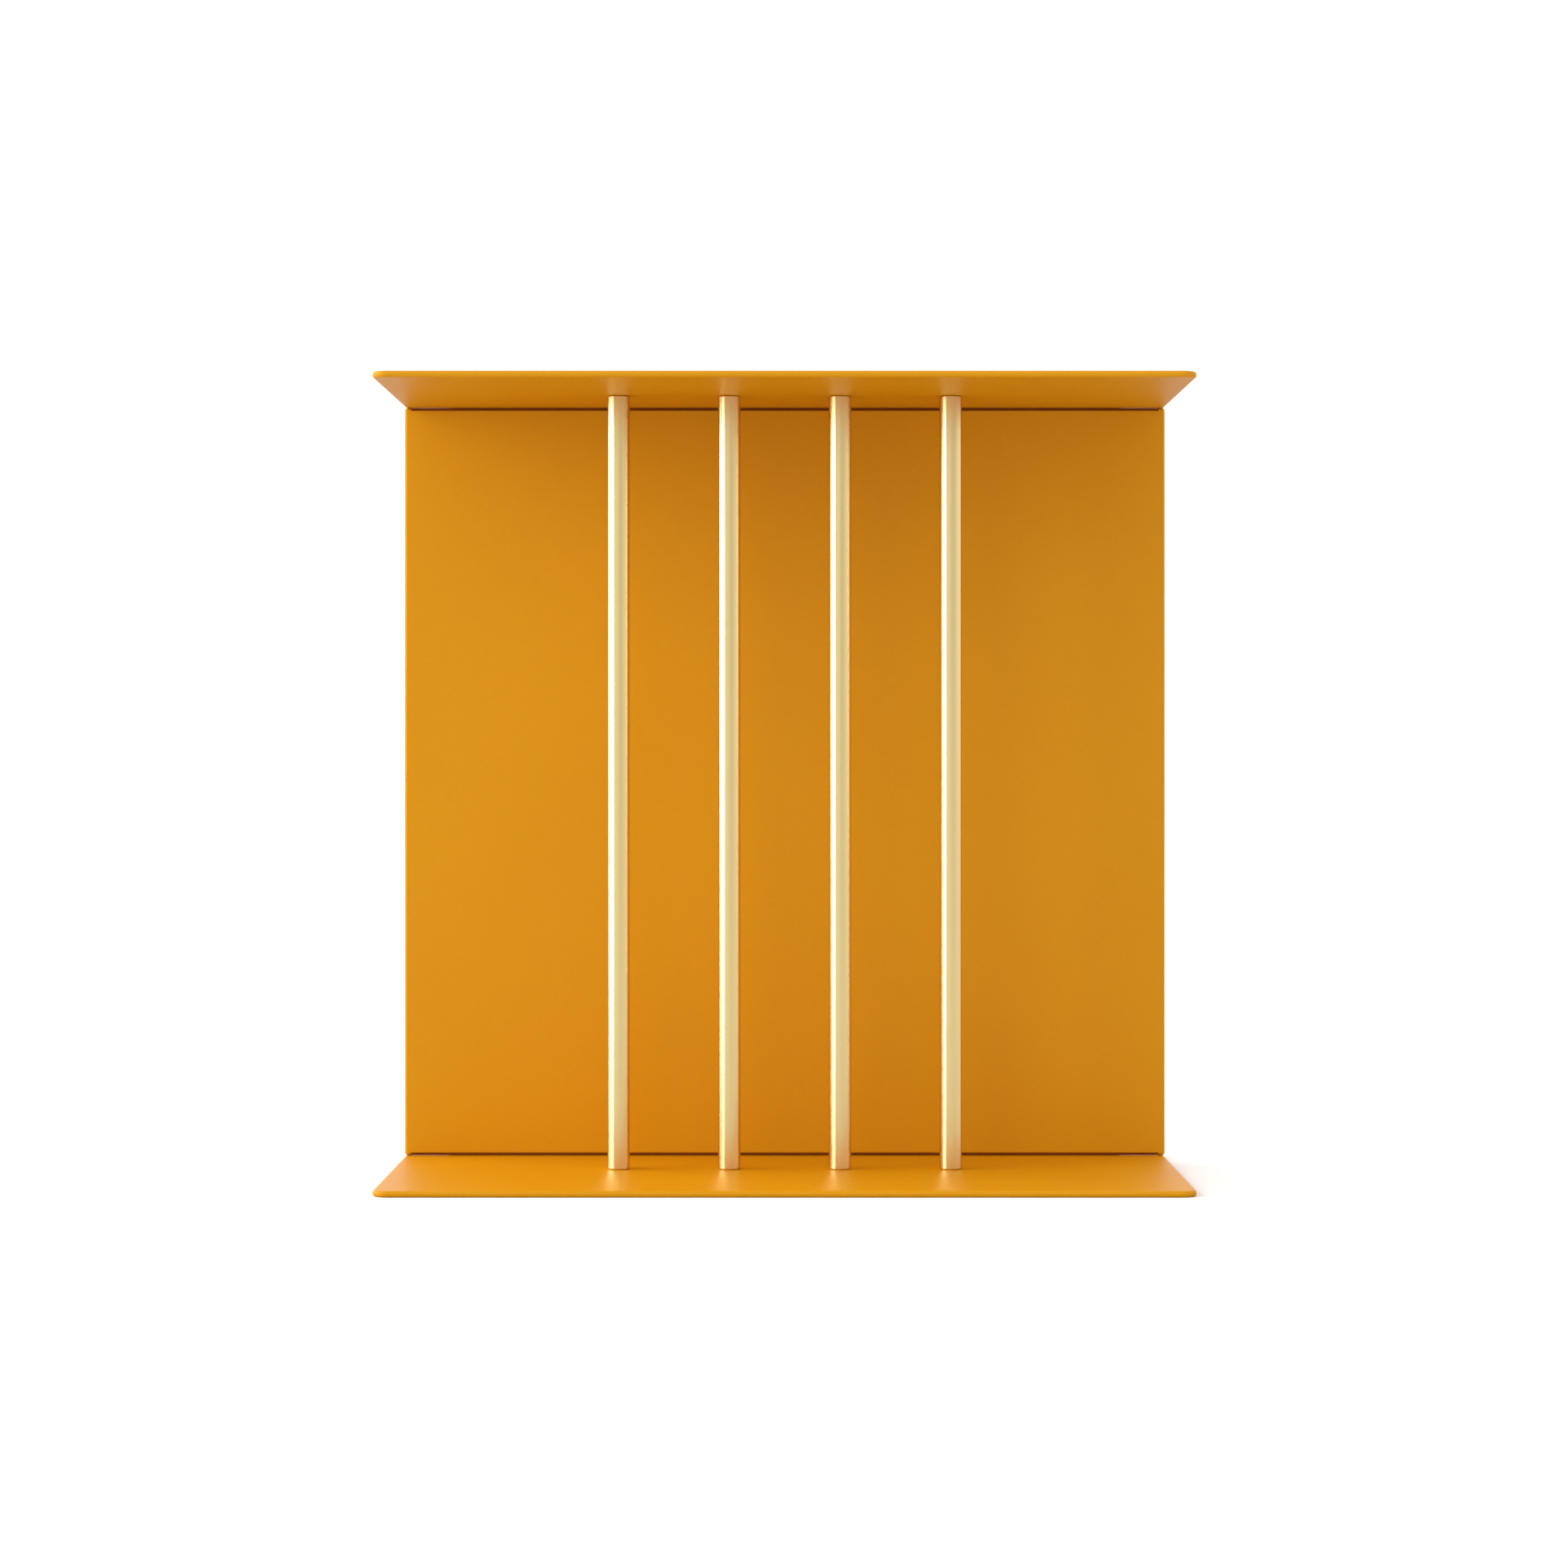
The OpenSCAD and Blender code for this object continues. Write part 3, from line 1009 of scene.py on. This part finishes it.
def make_camera(studio):
    """Level camera that looks straight at the rack's front."""
    data = bpy.data.cameras.new("camera")
    data.lens = studio.lens
    data.sensor_fit = "HORIZONTAL"
    data.shift_x, data.shift_y = studio.shift
    camera = bpy.data.objects.new("camera", data)
    camera.location = studio.camera_place
    camera.rotation_euler = (math.pi / 2, 0, 0)
    bpy.context.scene.collection.objects.link(camera)
    bpy.context.scene.camera = camera


def make_floor(studio):
    """Pale matt floor, which the camera sees brighter than the light does."""
    bm = bmesh.new()
    bmesh.ops.create_grid(bm, x_segments=1, y_segments=1, size=studio.floor_size / 2)
    floor = object_from("floor", bm)
    material = bpy.data.materials.new("pale_floor")
    material.use_nodes = True
    shader = material.node_tree.nodes["Principled BSDF"]
    shader.inputs["Roughness"].default_value = 0.9
    shader.inputs["Specular IOR Level"].default_value = 0
    shade = material.node_tree.nodes.new("ShaderNodeMix")
    shade.data_type = "RGBA"
    shade.inputs["A"].default_value = (*[studio.floor_sent] * 3, 1)
    shade.inputs["B"].default_value = (*[studio.floor_seen] * 3, 1)
    path = material.node_tree.nodes.new("ShaderNodeLightPath")
    material.node_tree.links.new(path.outputs["Is Camera Ray"], shade.inputs["Factor"])
    material.node_tree.links.new(shade.outputs["Result"], shader.inputs["Base Color"])
    floor.data.materials.append(material)


def lit_brass():
    """Collection of the brass pieces, for the light that only they take."""
    return bpy.data.collections.get("lit_brass") or bpy.data.collections.new("lit_brass")


def make_light(name, power, shape, extent, place, aim):
    """Soft light that shines from its place towards a point; a disk uses only its width."""
    data = bpy.data.lights.new(name, "AREA")
    data.shape = shape
    data.size, data.size_y = extent
    data.energy = power
    light = bpy.data.objects.new(name, data)
    light.location = place
    light.rotation_euler = (Vector(aim) - Vector(place)).to_track_quat("-Z", "Y").to_euler()
    light.visible_camera = False
    bpy.context.scene.collection.objects.link(light)
    return light


def make_lights(studio):
    """A soft light above, a wide one on the left, and one beside it that only the brass takes."""
    centre = (CAD_BOUNDS[0] + CAD_BOUNDS[1]) / 2
    make_light("key", studio.key_power, "RECTANGLE", studio.key_size, studio.key_place, centre)
    side_place = centre - Vector((studio.side_distance, 0, 0))
    side = make_light("side", studio.side_power, "DISK", [studio.side_width] * 2, side_place, centre)
    side.visible_glossy = False
    glint_place = centre - Vector((studio.glint_distance, 0, 0))
    glint = make_light("glint", studio.glint_power, "DISK", [studio.glint_width] * 2, glint_place, centre)
    glint.light_linking.receiver_collection = lit_brass()


def make_sky(studio):
    """White surroundings: plain white to the camera, and for the light walls of different brightness.

    A ceiling and a back wall add to the walls' light.
    """
    world = bpy.data.worlds.new("white_studio")
    world.use_nodes = True
    nodes, links = world.node_tree.nodes, world.node_tree.links
    direction = nodes.new("ShaderNodeSeparateXYZ")
    links.new(nodes.new("ShaderNodeTexCoord").outputs["Generated"], direction.inputs["Vector"])
    across = nodes.new("ShaderNodeMapRange")
    across.inputs["From Min"].default_value = -1
    links.new(direction.outputs["X"], across.inputs["Value"])
    walls = nodes.new("ShaderNodeValToRGB")
    links.new(across.outputs["Result"], walls.inputs["Fac"])
    for spare in walls.color_ramp.elements[1:]:
        walls.color_ramp.elements.remove(spare)
    for place, share in WALLS:
        stop = walls.color_ramp.elements.new((place + 1) / 2)
        stop.color = (share, share, share, 1)
    walls.color_ramp.elements.remove(walls.color_ramp.elements[0])
    level = nodes.new("ShaderNodeMath")
    level.operation = "MULTIPLY"
    level.inputs[1].default_value = studio.wall_peak
    links.new(walls.outputs["Color"], level.inputs[0])
    total = level.outputs[0]
    for axis, extra in (("Z", studio.ceiling), ("Y", studio.back_wall)):
        glow = nodes.new("ShaderNodeMapRange")
        glow.interpolation_type = "SMOOTHSTEP"
        glow.inputs["From Min"].default_value = GLOW_START
        glow.inputs["From Max"].default_value = GLOW_FULL
        glow.inputs["To Max"].default_value = extra
        links.new(direction.outputs[axis], glow.inputs["Value"])
        add = nodes.new("ShaderNodeMath")
        links.new(total, add.inputs[0])
        links.new(glow.outputs["Result"], add.inputs[1])
        total = add.outputs[0]
    seen = nodes.new("ShaderNodeMix")
    links.new(nodes.new("ShaderNodeLightPath").outputs["Is Camera Ray"], seen.inputs["Factor"])
    links.new(total, seen.inputs["A"])
    seen.inputs["B"].default_value = studio.surround
    background = nodes["Background"]
    background.inputs["Color"].default_value = (1, 1, 1, 1)
    links.new(seen.outputs["Result"], background.inputs["Strength"])
    bpy.context.scene.world = world


# ---- operators ----


class RackOperator:
    """What the rack's operators share: each makes every piece of its kind."""

    bl_options = {"REGISTER", "UNDO"}


class RACK_OT_plates(RackOperator, bpy.types.Operator):
    """Make the top and bottom plates with their countersunk holes"""

    bl_idname = "rack.plates"
    bl_label = "Plates"

    def execute(self, context):
        for node in ("top_plate", "bottom_plate"):
            make_plate(node)
        return {"FINISHED"}


class RACK_OT_panel(RackOperator, bpy.types.Operator):
    """Make the back panel"""

    bl_idname = "rack.panel"
    bl_label = "Back panel"

    def execute(self, context):
        make_panel("back_panel")
        return {"FINISHED"}


class RACK_OT_channels(RackOperator, bpy.types.Operator):
    """Fold and drill the two channels behind the panel"""

    bl_idname = "rack.channels"
    bl_label = "Channels"

    def execute(self, context):
        for node in ("hanger_channel", "lower_channel"):
            make_channel(node)
        return {"FINISHED"}


class RACK_OT_rods(RackOperator, bpy.types.Operator):
    """Turn the brass rods"""

    bl_idname = "rack.rods"
    bl_label = "Rods"

    def execute(self, context):
        screws = nodes_named("rod_screw")
        for node in nodes_named("rod_"):
            if node not in screws:
                make_rod(node)
        return {"FINISHED"}


class RACK_OT_rod_screws(RackOperator, bpy.types.Operator):
    """Make the countersunk screws that hold the rods"""

    bl_idname = "rack.rod_screws"
    bl_label = "Rod screws"

    def execute(self, context):
        for node in nodes_named("rod_screw"):
            make_rod_screw(node)
        return {"FINISHED"}


class RACK_OT_studs(RackOperator, bpy.types.Operator):
    """Make the welded studs on the panel and the plates"""

    bl_idname = "rack.studs"
    bl_label = "Studs"

    def execute(self, context):
        for node in nodes_named("panel_stud") + nodes_named("plate_stud"):
            make_stud(node)
        return {"FINISHED"}


class RACK_OT_washers(RackOperator, bpy.types.Operator):
    """Make the washers under the nuts"""

    bl_idname = "rack.washers"
    bl_label = "Washers"

    def execute(self, context):
        for node in nodes_named("panel_washer") + nodes_named("plate_washer"):
            make_washer(node)
        return {"FINISHED"}


class RACK_OT_nuts(RackOperator, bpy.types.Operator):
    """Make the nuts that hold the channels"""

    bl_idname = "rack.nuts"
    bl_label = "Nuts"

    def execute(self, context):
        for node in nodes_named("panel_nut") + nodes_named("plate_nut"):
            make_nut(node)
        return {"FINISHED"}


class RACK_OT_stage(RackOperator, bpy.types.Operator):
    """Set up the camera, the pale floor and the soft lights"""

    bl_idname = "rack.stage"
    bl_label = "Stage"

    def execute(self, context):
        studio = context.scene.rack_studio
        make_camera(studio)
        make_floor(studio)
        make_sky(studio)
        make_lights(studio)
        context.scene.view_settings.view_transform = "Standard"
        return {"FINISHED"}


class RACK_PT_panel(bpy.types.Panel):
    """Lists the rack's pieces and their settings"""

    bl_label = "Newspaper rack"
    bl_idname = "RACK_PT_panel"
    bl_space_type = "VIEW_3D"
    bl_region_type = "UI"
    bl_category = "Rack"

    def draw(self, context):
        for operator in OPERATORS:
            self.layout.operator(operator.bl_idname)
        for name, _, label in SETTINGS:
            box = self.layout.box()
            box.label(text=label)
            group = getattr(context.scene, name)
            for field in group.bl_rna.properties:
                if field.identifier not in ("rna_type", "name"):
                    box.prop(group, field.identifier)


OPERATORS = (
    RACK_OT_stage,
    RACK_OT_plates,
    RACK_OT_panel,
    RACK_OT_channels,
    RACK_OT_rods,
    RACK_OT_rod_screws,
    RACK_OT_studs,
    RACK_OT_washers,
    RACK_OT_nuts,
)
SETTINGS = (
    ("rack_sheet", RackSheetSizes, "Sheet"),
    ("rack_turned", RackTurnedSizes, "Rods and fasteners"),
    ("rack_finishes", RackFinishes, "Finishes"),
    ("rack_studio", RackStudio, "Studio"),
)


def register():
    for name, group, _ in SETTINGS:
        bpy.utils.register_class(group)
        setattr(bpy.types.Scene, name, PointerProperty(type=group))
    for cls in (*OPERATORS, RACK_PT_panel):
        bpy.utils.register_class(cls)


def unregister():
    for cls in (RACK_PT_panel, *reversed(OPERATORS)):
        bpy.utils.unregister_class(cls)
    for name, group, _ in reversed(SETTINGS):
        delattr(bpy.types.Scene, name)
        bpy.utils.unregister_class(group)


def main():
    register()
    bpy.ops.rack.stage()
    bpy.ops.rack.plates()
    bpy.ops.rack.panel()
    bpy.ops.rack.channels()
    bpy.ops.rack.rods()
    bpy.ops.rack.rod_screws()
    bpy.ops.rack.studs()
    bpy.ops.rack.washers()
    bpy.ops.rack.nuts()


if __name__ == "__main__":
    main()
